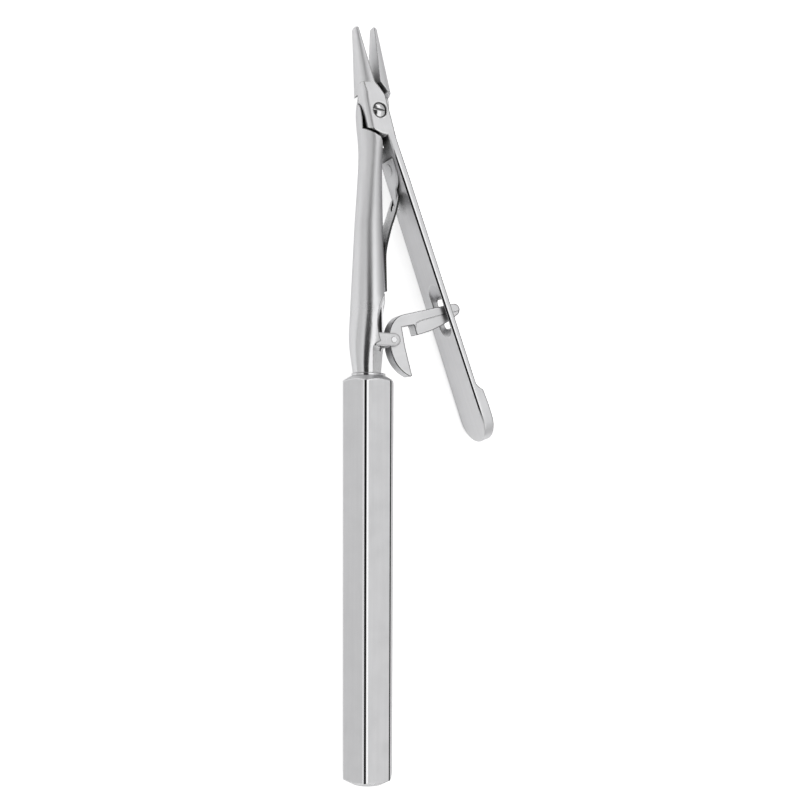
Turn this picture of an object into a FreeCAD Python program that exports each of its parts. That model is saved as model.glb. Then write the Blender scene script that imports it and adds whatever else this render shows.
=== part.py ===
import FreeCAD, Part
import Sketcher
import math
import os

# Surgical needle holder: hexagonal handle, round neck with lap joint, side lever, self-latching catch.
# Own frame in mm: +Y along the handle to the jaw tips, +X to the lever, +Z up.
# The origin is the middle of the handle's lower flat. Pieces are drawn about the handle's axis
# and lifted by half the flat-to-flat width. All but the handle are drawn from its front end.

SIZES = [
    ("handle_flats", 8.4, "hexagon across flats"),
    ("axis_height", 4.2, "handle axis above the lower flat"),
    ("handle_half", 35.95, "half length of the handle"),
    ("handle_face", 3.1, "radius where the end chamfer starts"),
    ("chamfer_angle", 30.0, "lathe chamfer of the handle ends"),
    ("spigot_radius", 2.2, "neck spigot in the handle bore"),
    ("spigot_length", 11.0, "depth of the spigot"),
    ("collar_radius", 2.95, "collar between handle and neck"),
    ("collar_length", 0.45, "length of the collar"),
    ("neck_start", 2.72, "neck radius where it leaves the collar"),
    ("joint_x", 0.74, "screw axis beside the handle axis"),
    ("joint_y", 44.35, "screw axis ahead of the handle's front end"),
    ("joint_half", 2.8, "half thickness of the lap joint"),
    ("lap_gap", 0.03, "clearance between the lap faces"),
    ("lap_radius", 3.82, "rounded end of the neck's lap plate about the screw"),
    ("lap_room", 0.06, "clearance around the lap plate's end"),
    ("jaw_half_base", 2.8, "jaw half thickness at its root"),
    ("jaw_half_tip", 0.9, "jaw half thickness at the tip"),
    ("jaw_depth_base", 2.5, "jaw depth at its root"),
    ("jaw_depth_tip", 0.62, "jaw depth at the tip"),
    ("jaw_root_y", 3.3, "root station of the jaws ahead of the screw"),
    ("jaw_tip_y", 14.2, "tip station of the jaws ahead of the screw"),
    ("jaw_root_x", 0.21, "closed jaw face beside the screw axis at the root"),
    ("jaw_tip_x", -0.25, "closed jaw face beside the screw axis at the tip"),
    ("jaw_gap", 0.03, "play between the shut jaw faces"),
    ("open_angle", 21.1, "lever turned from the handle line at rest"),
    ("closed_angle", 9.3, "lever turned from the handle line when shut"),
    ("screw_radius", 0.8, "joint screw shank"),
    ("screw_fit", 0.04, "radial clearance of the shank in the lever"),
    ("head_radius", 1.08, "joint screw head"),
    ("head_room", 1.22, "radius of the recess for the head"),
    ("head_depth", 0.9, "depth of the recess"),
    ("head_rise", 0.12, "dome of the head above the plate"),
    ("driver_slot", 0.4, "width of the slot in the head"),
    ("driver_depth", 0.45, "depth of the slot in the head"),
    ("strap_root", 1.3, "lever strap thickness at its root"),
    ("strap_end", 1.02, "lever strap thickness at the thumb pad"),
    ("strap_width_root", 5.9, "lever width at the joint"),
    ("strap_width_end", 8.34, "lever width at the thumb pad"),
    ("lever_length", 59.4, "joint screw to lever end"),
    ("plate_shoulder", 0.9, "rounding of the plate's left edge"),
    ("lever_edge", 0.25, "rounding of the lever's inner edges"),
    ("pad_length", 10.1, "length of the thumb pad"),
    ("pad_thick", 2.15, "lever thickness at the thumb pad"),
    ("latch_x", 3.43, "latch pin beside the handle axis"),
    ("latch_y", 6.2, "latch pin ahead of the handle's front end"),
    ("latch_low", 0.05, "lower face of the latch above the handle axis"),
    ("latch_thick", 2.4, "latch thickness"),
    ("side_gap", 0.05, "side clearance of the latch in its fork"),
    ("ear_thick", 0.7, "thickness of each fork ear"),
    ("ear_radius", 1.12, "rounded end of the fork ears"),
    ("ear_reach", 0.18, "centre of the ears' rounded end beyond the pin"),
    ("ear_edge", 0.3, "rounding of the ear's rim"),
    ("pin_radius", 0.5, "latch pin"),
    ("pin_fit", 0.04, "radial clearance of the latch on its pin"),
    ("slot_half", 1.9, "half width of the lever slot"),
    ("slot_inner_top", 30.0, "slot start on the inner face from the screw"),
    ("slot_inner_end", 39.5, "slot end on the inner face from the screw"),
    ("slot_outer_top", 33.4, "slot start on the outer face from the screw"),
    ("slot_outer_end", 37.96, "slot end on the outer face from the screw"),
    ("leaf_thick", 0.36, "thickness of the leaf springs"),
    ("leaf_half", 2.0, "half width of the leaf springs at the root"),
    ("fork_slot", 0.72, "half width of the opening in the forked tip"),
    ("tongue_half", 0.52, "half width of the tongue"),
    ("rivet_radius", 0.55, "spring rivet shank"),
    ("rivet_head", 0.95, "leaf rivet head"),
    ("neck_rivet_rise", 0.3, "height of the rivet head on the neck"),
    ("lever_rivet_rise", 0.06, "height of the flat rivet head under the lever"),
    ("lever_rivet", 9.4, "joint screw to the rivet in the lever"),
    ("neck_rivet_y", 16.45, "rivet of the neck leaf ahead of the handle's front end"),
    ("flat_x_top", 1.55, "spring flat of the neck at its upper end"),
    ("flat_x_low", 2.22, "spring flat of the neck at its lower end"),
    ("flat_start", 14.35, "lower end of the spring flat ahead of the handle"),
    ("flat_end", 4.7, "upper end of the spring flat behind the screw"),
    ("fork_floor", 1.75, "floor of the latch fork"),
    ("catch_leaf", 0.28, "thickness of the latch spring"),
    ("catch_half", 0.6, "half width of the latch spring"),
    ("catch_rivet", 0.35, "latch spring rivet shank"),
    ("catch_head", 0.55, "latch spring rivet head"),
    ("catch_rise", 0.2, "height of the latch spring rivet head"),
    ("catch_rivet_y", 13.25, "rivet of the latch spring ahead of the handle's front end"),
    ("catch_rivet_z", 0.9, "middle of the latch spring above the handle axis"),
]

doc = FreeCAD.newDocument("NeedleHolder")
sheet = doc.addObject("Spreadsheet::Sheet", "Sizes")
for row, (alias, value, note) in enumerate(SIZES, start=1):
    sheet.set("A%d" % row, note)
    sheet.set("B%d" % row, str(value))
    sheet.setAlias("B%d" % row, alias)
doc.recompute()


def size(alias):
    """Value of one named cell."""
    return float(sheet.get(alias))


def point(x, y):
    """Sketch point."""
    return FreeCAD.Vector(x, y, 0)


def new_body(name, label, start="Sizes.handle_half"):
    """Empty body with its own XY plane in the handle axis and its origin at the handle's front end."""
    body = doc.addObject("PartDesign::Body", name)
    body.Label = label
    body.setExpression("Placement.Base.y", start)
    body.setExpression("Placement.Base.z", "Sizes.axis_height")
    return body


def set_on_pivot(body, x_alias, y_alias):
    """Move a body drawn about its pivot to the pivot's place."""
    body.setExpression("Placement.Base.x", "Sizes." + x_alias)
    body.setExpression("Placement.Base.y", "Sizes.handle_half + Sizes." + y_alias)


def new_sketch(body, name, role, shift=0.0, turn=None):
    """Sketch on one of the body's origin planes, moved along its normal."""
    plane = [item for item in body.Origin.OriginFeatures if item.Role == role][0]
    sketch = body.newObject("Sketcher::SketchObject", name)
    sketch.AttachmentSupport = (plane, [""])
    sketch.MapMode = "FlatFace"
    rotation = turn or FreeCAD.Rotation()
    sketch.AttachmentOffset = FreeCAD.Placement(FreeCAD.Vector(0, 0, shift), rotation)
    return sketch


def draw(sketch, start, *steps):
    """Closed outline: a step is the next point, or a middle and an end point of an arc."""
    here = start
    for step in steps + (start,):
        if isinstance(step[0], tuple):
            middle, end = step
            sketch.addGeometry(Part.Arc(point(*here), point(*middle), point(*end)), False)
            here = end
        elif math.dist(here, step) > 1e-6:
            sketch.addGeometry(Part.LineSegment(point(*here), point(*step)), False)
            here = step
    return sketch


def draw_circle(sketch, x, y, alias):
    """Circle with its radius bound to a cell."""
    index = sketch.addGeometry(Part.Circle(point(x, y), FreeCAD.Vector(0, 0, 1), size(alias)), False)
    number = sketch.addConstraint(Sketcher.Constraint("Radius", index, size(alias)))
    sketch.setExpression("Constraints[%d]" % number, "Sizes." + alias)
    return sketch


def draw_ellipse(sketch, x, half_x, half_y):
    """Full ellipse centred on the sketch's horizontal axis."""
    if half_x >= half_y:
        curve = Part.Ellipse(point(x + half_x, 0), point(x, half_y), point(x, 0))
    else:
        curve = Part.Ellipse(point(x, half_y), point(x - half_x, 0), point(x, 0))
    sketch.addGeometry(curve, False)
    return sketch


def draw_jaw_section(sketch, x, depth, half, side):
    """Jaw section: a flat face at x and a full round back of the given depth on one side."""
    full = 0.8
    for up in (1, -1):
        poles = [point(x, up * half), point(x + side * depth * full, up * half),
                 point(x + side * depth, up * half * full), point(x + side * depth, 0)]
        curve = Part.BSplineCurve()
        curve.buildFromPolesMultsKnots(poles, [4, 4], [0, 1], False, 3)
        sketch.addGeometry(curve, False)
    sketch.addGeometry(Part.LineSegment(point(x, -half), point(x, half)), False)
    return sketch


def pad(body, name, sketch, length, both=False, back=False):
    """Pad with its length bound to a cell or formula."""
    feature = body.newObject("PartDesign::Pad", name)
    feature.Profile = sketch
    feature.setExpression("Length", length)
    feature.Midplane = both
    feature.Reversed = back
    return feature


def pocket(body, name, sketch, length, both=False, back=False):
    """Pocket with its depth bound to a cell or formula."""
    feature = body.newObject("PartDesign::Pocket", name)
    feature.Profile = sketch
    feature.setExpression("Length", length)
    feature.Midplane = both
    feature.Reversed = back
    return feature


def mirrored(steps):
    """The same outline steps on the other side of the sketch's horizontal axis."""
    return [mirrored(step) if isinstance(step[0], tuple) else (step[0], -step[1]) for step in steps]


def from_screw(*steps):
    """Outline steps given from the screw axis, moved to where the neck's sketches need them."""
    x, y = size("joint_x"), size("joint_y")
    return [from_screw(*step) if isinstance(step[0], tuple) else (step[0] + x, step[1] + y) for step in steps]


def loft(body, name, sketches, ruled=False, cut=False):
    """Loft through sections, added or taken away."""
    kind = "PartDesign::SubtractiveLoft" if cut else "PartDesign::AdditiveLoft"
    feature = body.newObject(kind, name)
    feature.Profile = sketches[0]
    feature.Sections = sketches[1:]
    feature.Ruled = ruled
    return feature


def round_edges(body, name, base, edges, radius):
    """Fillet the named edges of a feature."""
    feature = body.newObject("PartDesign::Fillet", name)
    feature.Base = (base, edges)
    feature.Radius = radius
    return feature


def edges_where(shape, test):
    """Names of the edges whose middle point passes a test."""
    found = []
    for number, edge in enumerate(shape.Edges, start=1):
        middle = edge.valueAt((edge.FirstParameter + edge.LastParameter) / 2)
        if test(edge, middle):
            found.append("Edge%d" % number)
    return found


def make_handle():
    """Hexagonal bar with lathe-chamfered ends and a bore for the neck."""
    body = new_body("Handle", "handle", "0")
    corner = size("handle_flats") / math.sqrt(3)
    hexagon = new_sketch(body, "HandleSection", "XZ_Plane")
    turn = [math.radians(60 * k) for k in range(6)]
    corners = [(corner * math.cos(a), corner * math.sin(a)) for a in turn]
    draw(hexagon, *corners)
    bar = pad(body, "HandleBar", hexagon, "2 * Sizes.handle_half", both=True)
    doc.recompute()
    long_edges = edges_where(bar.Shape, lambda e, m: e.Length > 20)
    round_edges(body, "HandleEdges", bar, long_edges, 0.25)
    half = size("handle_half")
    face = size("handle_face")
    outer = corner + 1
    fall = (outer - face) * math.tan(math.radians(size("chamfer_angle")))
    for side, name in ((1, "Front"), (-1, "Rear")):
        ring = new_sketch(body, "Handle" + name + "Profile", "XY_Plane")
        top = half + 1
        draw(ring, (face, side * half), (outer, side * (half - fall)), (outer, side * top),
             (face, side * top))
        groove = body.newObject("PartDesign::Groove", "Handle" + name + "Chamfer")
        groove.Profile = ring
        groove.ReferenceAxis = (ring, ["V_Axis"])
        groove.Angle = 360
    bore = new_sketch(body, "HandleBoreProfile", "XZ_Plane", -half)
    draw_circle(bore, 0, 0, "spigot_radius")
    pocket(body, "HandleBore", bore, "Sizes.spigot_length", back=True)
    return body


# Swell of the neck's foot, as radius and distance from the handle's front end: start, middle and end.
NECK_SWELL = [(3.13, 3.2), (3.41, 5.95), (3.335, 9.05)]

# Oval stations: distance from the screw along the handle, side offset, half width and half height.
OVALS = [
    (-18.3, 0.0, 2.47, 2.47),
    (-13.3, 0.10, 2.16, 2.53),
    (-8.3, 0.24, 1.95, 2.66),
    (-4.3, 0.42, 2.22, 2.86),
    (0.0, 0.72, 2.94, 3.0),
    (3.1, 0.90, 2.68, 2.86),
    (4.9, 0.86, 2.24, 2.55),
]


def make_body():
    """Neck, lap plate with its side wall, fixed jaw and the fork for the latch."""
    body = new_body("Shank", "shank")
    spigot = new_sketch(body, "SpigotProfile", "XZ_Plane")
    draw_circle(spigot, 0, 0, "spigot_radius")
    pad(body, "Spigot", spigot, "Sizes.spigot_length")
    collar = new_sketch(body, "CollarProfile", "XZ_Plane")
    draw_circle(collar, 0, 0, "collar_radius")
    pad(body, "Collar", collar, "Sizes.collar_length", back=True)
    round_part = new_sketch(body, "NeckProfile", "XY_Plane")
    foot, top = size("collar_length"), size("joint_y") + OVALS[0][0]
    draw(round_part, (0, foot), (size("neck_start"), foot), NECK_SWELL[0], tuple(NECK_SWELL[1:]),
         (OVALS[0][2], top), (0, top))
    neck = body.newObject("PartDesign::Revolution", "RoundNeck")
    neck.Profile = round_part
    neck.ReferenceAxis = (round_part, ["V_Axis"])
    neck.Angle = 360
    sections = []
    for number, (along, x, half_x, half_z) in enumerate(OVALS):
        station = new_sketch(body, "OvalStation%d" % number, "XZ_Plane", -size("joint_y") - along)
        sections.append(draw_ellipse(station, x, half_x, half_z))
    loft(body, "OvalNeck", sections)
    doc.recompute()
    make_fixed_jaw(body)
    cut_lap(body)
    cut_spring_flat(body)
    make_fork(body)
    return body


# Rounded nose of the jaws: distance back from the tip and share of the full section.
JAW_NOSE = [(0.4, 1.0), (0.14, 0.9), (0.0, 0.7)]


def jaw_stations():
    """Stations of a jaw ahead of the screw, with face offset, depth and half thickness."""
    root, tip = size("jaw_root_y"), size("jaw_tip_y")
    stations = [(root, jaw_face(root), size("jaw_depth_base"), size("jaw_half_base"))]
    for back, share in JAW_NOSE:
        y = tip - back
        part = (y - root) / (tip - root)
        depth = size("jaw_depth_base") + (size("jaw_depth_tip") - size("jaw_depth_base")) * part
        half = size("jaw_half_base") + (size("jaw_half_tip") - size("jaw_half_base")) * part
        stations.append((y, jaw_face(y), share * depth, share * half))
    return stations


def jaw_face(y):
    """Fixed jaw's flat face beside the screw axis, at a distance ahead of the screw."""
    start, end = size("jaw_root_y"), size("jaw_tip_y")
    return size("jaw_root_x") + (size("jaw_tip_x") - size("jaw_root_x")) * (y - start) / (end - start)


def make_fixed_jaw(body):
    """Half-round tapering jaw on the neck."""
    sections = []
    for number, (y, x, depth, half) in enumerate(jaw_stations()):
        sketch = new_sketch(body, "JawStation%d" % number, "XZ_Plane", -size("joint_y") - y)
        sections.append(draw_jaw_section(sketch, size("joint_x") + x, depth, half, 1))
    loft(body, "FixedJaw", sections, ruled=True)
    doc.recompute()


def cut_lap(body):
    """Recess for the lever plate above the lap plane and for the moving jaw below it."""
    front = new_sketch(body, "PlateRecessProfile", "XY_Plane")
    draw(front, *from_screw(
        (-2.84, 1.4), (-2.46, -2.97), (-1.91, -3.3), ((-0.84, -3.85), (0.26, -4.3)), (0.71, -4.85),
        (0.86, -5.7), (3.76, -5.7), (3.76, 3.0), (1.56, 3.25), (jaw_face(4.75), 4.75), (jaw_face(5.1), 5.1),
        (-4.74, 5.1), (-4.74, 1.9), (-3.34, 1.9)))
    pocket(body, "PlateRecess", front, "Sizes.joint_half + 1", back=True)
    rear = new_sketch(body, "JawRecessProfile", "XY_Plane")
    disc = size("lap_radius")
    side, wall = 0.18, disc / 2
    draw(rear, *from_screw(
        (side, math.sqrt(disc ** 2 - side ** 2)),
        ((-disc * 0.55, disc * 0.835), (-math.sqrt(disc ** 2 - wall ** 2), wall)), (-5.24, wall),
        (-5.24, 5.1), (jaw_face(5.1), 5.1)))
    pocket(body, "JawRecess", rear, "Sizes.joint_half + 1")
    for side, name in ((1, "Upper"), (-1, "Lower")):
        face = new_sketch(body, name + "FlatProfile", "XY_Plane", side * size("joint_half"))
        draw(face, *from_screw((-5.7, -7.3), (4.3, -7.3), (4.3, 5.7), (-5.7, 5.7)))
        pocket(body, name + "Flat", face, "Sizes.joint_half", back=side > 0)
    tap = new_sketch(body, "ScrewHoleProfile", "XY_Plane")
    draw_circle(tap, size("joint_x"), size("joint_y"), "screw_radius")
    pocket(body, "ScrewHole", tap, "Sizes.joint_half + 1")


def flat_x(y):
    """Side offset of the neck's spring flat at a distance from the handle."""
    start, end = size("flat_start"), size("joint_y") - size("flat_end")
    return size("flat_x_low") + (size("flat_x_top") - size("flat_x_low")) * (y - start) / (end - start)


def cut_spring_flat(body):
    """Flat along the lever side of the neck for the leaf spring."""
    flat = new_sketch(body, "SpringFlatProfile", "XY_Plane")
    start, end = size("flat_start"), size("joint_y") - size("flat_end")
    draw(flat, (flat_x(start), start), (flat_x(end), end), (4.5, end), (4.5, start))
    pocket(body, "SpringFlat", flat, "4 * Sizes.joint_half", both=True)
    hole = new_sketch(body, "SpringHoleProfile", "YZ_Plane", 0.9)
    draw_circle(hole, size("neck_rivet_y"), 0, "rivet_radius")
    pocket(body, "SpringHole", hole, "4 * Sizes.rivet_radius", back=True)


def make_fork(body):
    """Gouge beside the latch, its fork ears, slot and pin hole."""
    x, y = size("latch_x"), size("latch_y")
    radius = size("ear_radius")
    turned = FreeCAD.Rotation(FreeCAD.Vector(0, 1, 0), -34)
    gouge = new_sketch(body, "GougeProfile", "XY_Plane", 0, turned)
    draw(gouge, (3.35, 3.75), ((2.0, 9.05), (3.2, 14.35)), (5.5, 14.35), (5.5, 3.75))
    pocket(body, "Gouge", gouge, "4 * Sizes.joint_half", both=True)
    turned = FreeCAD.Rotation(FreeCAD.Vector(0, 1, 0), -42)
    base = new_sketch(body, "BaseFlatProfile", "XY_Plane", 0, turned)
    draw(base, (1.55, 0.45), (1.72, 4.45), ((2.1, 5.35), (3.5, 5.95)), (5.5, 5.95), (5.5, 0.45))
    pocket(body, "BaseFlat", base, "4 * Sizes.joint_half", both=True)
    low = size("latch_low") - size("side_gap") - size("ear_thick")
    ear = new_sketch(body, "EarProfile", "XY_Plane", low)
    end = x + size("ear_reach")
    draw(ear, (0.0, y - radius), (end, y - radius), ((end + radius, y), (end, y + radius)), (0.0, y + radius))
    ears = pad(body, "Ears", ear, "Sizes.latch_thick + 2 * Sizes.side_gap + 2 * Sizes.ear_thick")
    doc.recompute()
    top = low + size("latch_thick") + 2 * (size("side_gap") + size("ear_thick"))
    rim = edges_where(ears.Shape, lambda e, m: abs(m.z - top) < 0.01 and abs(m.y - y) < radius + 0.01 and m.x > x - 1)
    round_edges(body, "EarRim", ears, rim, size("ear_edge"))
    slot = new_sketch(body, "ForkSlotProfile", "XY_Plane", size("latch_low") - size("side_gap"))
    floor = size("fork_floor")
    draw(slot, (floor, 4.45), (6, 4.45), (6, 14.35), (floor, 14.35))
    pocket(body, "ForkSlot", slot, "Sizes.latch_thick + 2 * Sizes.side_gap", back=True)
    hole = new_sketch(body, "PinHoleProfile", "XY_Plane", -3)
    draw_circle(hole, x, y, "pin_radius")
    pocket(body, "PinHole", hole, "4 * Sizes.joint_half", back=True)
    small = new_sketch(body, "CatchHoleProfile", "YZ_Plane", 0.7)
    draw_circle(small, size("catch_rivet_y"), size("catch_rivet_z"), "catch_rivet")
    pocket(body, "CatchHole", small, "2 * Sizes.fork_floor", back=True)


def lever_width(along):
    """Strap width at a distance from the joint screw."""
    root, end = size("strap_width_root"), size("strap_width_end")
    return root + (end - root) * along / size("lever_length")


def make_lever():
    """Lap plate, moving jaw and slotted strap with its thumb pad, drawn about the joint screw."""
    body = new_body("Lever", "lever")
    set_on_pivot(body, "joint_x", "joint_y")
    body.Placement.Rotation = FreeCAD.Rotation(FreeCAD.Vector(0, 0, 1), size("open_angle"))
    body.setExpression("Placement.Rotation.Angle", "Sizes.open_angle * 1 deg")
    make_strap(body)
    make_plate(body)
    make_moving_jaw(body)
    cut_lever_slot(body)
    cut_screw_seat(body)
    return body


def make_strap(body):
    """Strap widening to a rounded end, its outer side shaped into a thumb pad."""
    length = size("lever_length")
    start = 3.4
    slope = (size("strap_width_end") - size("strap_width_root")) / 2 / length
    tilt = math.atan(slope)
    end_radius = size("strap_width_end") / 2 / (math.cos(tilt) + slope * (1 + math.sin(tilt)))
    shoulder = length - end_radius * (1 + math.sin(tilt))
    far = end_radius * math.cos(tilt)
    face = new_sketch(body, "StrapFace", "YZ_Plane")
    flush, run = size("joint_half"), 12.0
    wide = lever_width(run) / 2
    draw(face, (-start, -flush), (-start, flush), (-run, wide), (-shoulder, far), ((-length, 0), (-shoulder, -far)),
         (-run, -wide))
    strap = pad(body, "Strap", face, "Sizes.pad_thick")
    doc.recompute()
    rim = edges_where(strap.Shape, lambda e, m: abs(m.x) < 0.01 and m.y < -start - 0.1)
    round_edges(body, "StrapEdges", strap, rim, size("lever_edge"))
    root, end, thick = size("strap_root"), size("strap_end"), size("pad_thick")
    first = length - size("pad_length")
    outer = new_sketch(body, "StrapBack", "XY_Plane")
    draw(outer, (root, -1), (root, -start), (end, -first + 0.6),
         ((end + 0.45, -first - 0.25), (thick - 0.12, -first - 0.9)),
         ((thick, -length + 5.4), (thick - 0.25, -length + 0.8)), (thick - 0.6, -length - 0.5),
         (4, -length - 0.5), (4, -1))
    pocket(body, "StrapBackCut", outer, "2 * Sizes.strap_width_end", both=True)
    doc.recompute()
    clear = new_sketch(body, "StrapRearRelief", "XY_Plane", size("lap_gap"))
    draw(clear, (-1, -2), (-1, -5.6), (3, -5.6), (3, -2))
    pocket(body, "StrapRelief", clear, "2 * Sizes.strap_width_end")


def make_plate(body):
    """Lap plate around the screw, above the lap plane."""
    plate = new_sketch(body, "PlateProfile", "XY_Plane", size("lap_gap"))
    draw(plate, (0.86, 4.6), (1.82, 2.15), (1.6, -1.9), (1.32, -5.6), (0.0, -5.2), (0.0, -4.15), (-1.2, -3.5),
         (-2.75, -2.15), (-2.05, 2.6), (-1.3, 5.2))
    top = pad(body, "Plate", plate, "Sizes.joint_half - Sizes.lap_gap")
    doc.recompute()
    rim = size("joint_half")
    left = edges_where(top.Shape, lambda e, m: abs(m.z - rim) < 0.01 and m.x < -1.3 and m.y > -2.5)
    round_edges(body, "PlateShoulder", top, left, size("plate_shoulder"))
    slope = new_sketch(body, "PlateSlopeProfile", "YZ_Plane")
    start, fall = size("jaw_root_y"), (rim - size("jaw_half_tip")) / (size("jaw_tip_y") - size("jaw_root_y"))
    reach = 3.0
    draw(slope, (start, rim), (start + reach, rim - reach * fall), (start + reach, rim + 1), (start, rim + 1))
    pocket(body, "PlateSlope", slope, "4 * Sizes.joint_half", both=True)


def make_moving_jaw(body):
    """Half-round tapering jaw, drawn shut against the fixed one."""
    rotation = FreeCAD.Rotation(FreeCAD.Vector(0, 1, 0), -size("closed_angle"))
    sections = []
    for number, (y, x, depth, half) in enumerate(jaw_stations()):
        sketch = new_sketch(body, "MovingJawStation%d" % number, "XZ_Plane")
        sketch.AttachmentOffset = FreeCAD.Placement(rotation.multVec(FreeCAD.Vector(0, 0, -y)), rotation)
        sections.append(draw_jaw_section(sketch, x - size("jaw_gap"), depth, half, -1))
    loft(body, "MovingJaw", sections, ruled=True)
    doc.recompute()
    under = new_sketch(body, "JawUndercutProfile", "XY_Plane", size("lap_gap"))
    room = size("lap_radius") + size("lap_room")
    under.addGeometry(Part.Circle(point(0, 0), FreeCAD.Vector(0, 0, 1), room), False)
    pocket(body, "JawUndercut", under, "2 * Sizes.joint_half")


def cut_lever_slot(body):
    """Slot for the latch with run-outs on the inner face."""
    middle = size("latch_low") + size("latch_thick") / 2
    half = size("slot_half")
    sections = []
    for name, shift, top, end, corner in (
        ("Inner", 0.0, size("slot_inner_top"), size("slot_inner_end"), half - 0.05),
        ("Outer", size("strap_root"), size("slot_outer_top"), size("slot_outer_end"), 0.45),
    ):
        sketch = new_sketch(body, "Slot" + name, "YZ_Plane", shift)
        c = corner * (1 - math.sqrt(0.5))
        left, right = middle - half, middle + half
        draw(sketch, (-top - corner, left), ((-top - c, left + c), (-top, left + corner)),
             (-top, right - corner), ((-top - c, right - c), (-top - corner, right)), (-end + corner, right),
             ((-end + c, right - c), (-end, right - corner)), (-end, left + corner),
             ((-end + c, left + c), (-end + corner, left)))
        sections.append(sketch)
    loft(body, "LatchSlot", sections, ruled=True, cut=True)


def cut_screw_seat(body):
    """Clearance hole for the screw and recess for its head."""
    hole = new_sketch(body, "LeverHoleProfile", "XY_Plane")
    radius = size("screw_radius") + size("screw_fit")
    hole.addGeometry(Part.Circle(point(0, 0), FreeCAD.Vector(0, 0, 1), radius), False)
    pocket(body, "LeverHole", hole, "Sizes.joint_half + 1", back=True)
    seat = new_sketch(body, "HeadRecessProfile", "XY_Plane", size("joint_half") - size("head_depth"))
    draw_circle(seat, 0, 0, "head_room")
    pocket(body, "HeadRecess", seat, "2 * Sizes.head_depth", back=True)
    rivet = new_sketch(body, "LeverRivetProfile", "YZ_Plane", -1)
    draw_circle(rivet, -size("lever_rivet"), 0, "rivet_radius")
    pocket(body, "LeverRivetHole", rivet, "4 * Sizes.strap_root", back=True)


def make_screw():
    """Joint screw with a slotted domed head, drawn about its axis."""
    body = new_body("JointScrew", "joint_screw")
    set_on_pivot(body, "joint_x", "joint_y")
    profile = new_sketch(body, "ScrewProfile", "XZ_Plane")
    shank, head = size("screw_radius"), size("head_radius")
    low, top = -size("joint_half"), size("joint_half")
    seat = top - size("head_depth")
    rise = top + size("head_rise")
    draw(profile, (0, low), (shank, low), (shank, seat), (head, seat), (head, top - 0.12),
         (dome(head, top - 0.12, rise), (0, rise)))
    turned = body.newObject("PartDesign::Revolution", "ScrewBody")
    turned.Profile = profile
    turned.ReferenceAxis = (profile, ["V_Axis"])
    turned.Angle = 360
    slot = new_sketch(body, "DriverProfile", "XY_Plane", rise - size("driver_depth"),
                      FreeCAD.Rotation(FreeCAD.Vector(0, 0, 1), -6))
    half = size("driver_slot") / 2
    draw(slot, (-2, -half), (2, -half), (2, half), (-2, half))
    pocket(body, "DriverSlot", slot, "2 * Sizes.driver_depth", back=True)
    return body


def leaf(body, path_points, widths):
    """Leaf spring: a bent strip trimmed to an outline given along Y."""
    thick = size("leaf_thick") / 2
    path = new_sketch(body, body.Name + "Path", "XY_Plane")
    curve = Part.BSplineCurve()
    curve.interpolate([point(*p) for p in path_points])
    steps = 14
    first, last = curve.FirstParameter, curve.LastParameter
    left, right = [], []
    for k in range(steps + 1):
        t = first + (last - first) * k / steps
        here, along = curve.value(t), curve.tangent(t)[0]
        side = FreeCAD.Vector(-along.y, along.x, 0) * thick
        left.append(here + side)
        right.append(here - side)
    for row in (left, right):
        edge = Part.BSplineCurve()
        edge.interpolate(row)
        path.addGeometry(edge, False)
    path.addGeometry(Part.LineSegment(left[0], right[0]), False)
    path.addGeometry(Part.LineSegment(left[-1], right[-1]), False)
    pad(body, body.Name + "Strip", path, "2 * Sizes.leaf_half", both=True)
    trim = new_sketch(body, body.Name + "Outline", "YZ_Plane", -3)
    draw(trim, *widths)
    pocket(body, body.Name + "Trim", trim, "20 * Sizes.leaf_half", back=True)
    trim_low = new_sketch(body, body.Name + "OutlineLow", "YZ_Plane", -3)
    draw(trim_low, *mirrored(widths))
    pocket(body, body.Name + "TrimLow", trim_low, "20 * Sizes.leaf_half", back=True)


def make_body_spring():
    """Leaf on the neck whose forked tip takes the tongue of the other leaf."""
    body = new_body("BodySpring", "neck_spring")
    half = size("leaf_half")
    lift = size("leaf_thick") / 2 + 0.002
    seated = [(flat_x(y) + lift, y) for y in (14.45, 16.05, 17.65, 19.25)]
    leaf(body, seated + [(2.263, 20.45), (2.36, 21.45), (2.66, 22.95), (3.37, 25.45), (4.2, 27.75),
                         (4.82, 29.85), (5.22, 31.35)],
         [(23.05, half), (28.55, 1.75), ((30.65, 1.5), (31.45, 0.95)), (33, 0.95), (33, half + 1),
          (23.05, half + 1)])
    fork = new_sketch(body, "ForkProfile", "YZ_Plane", -3)
    gap, start = size("fork_slot"), 29.25
    draw(fork, (start, -gap), (33, -gap), (33, gap), (start, gap), ((start - gap, 0), (start, -gap)))
    pocket(body, "ForkOpening", fork, "20 * Sizes.leaf_half", back=True)
    hole = new_sketch(body, "NeckLeafHole", "YZ_Plane", -3)
    draw_circle(hole, size("neck_rivet_y"), 0, "rivet_radius")
    pocket(body, "NeckLeafBore", hole, "20 * Sizes.leaf_half", back=True)
    return body


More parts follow.
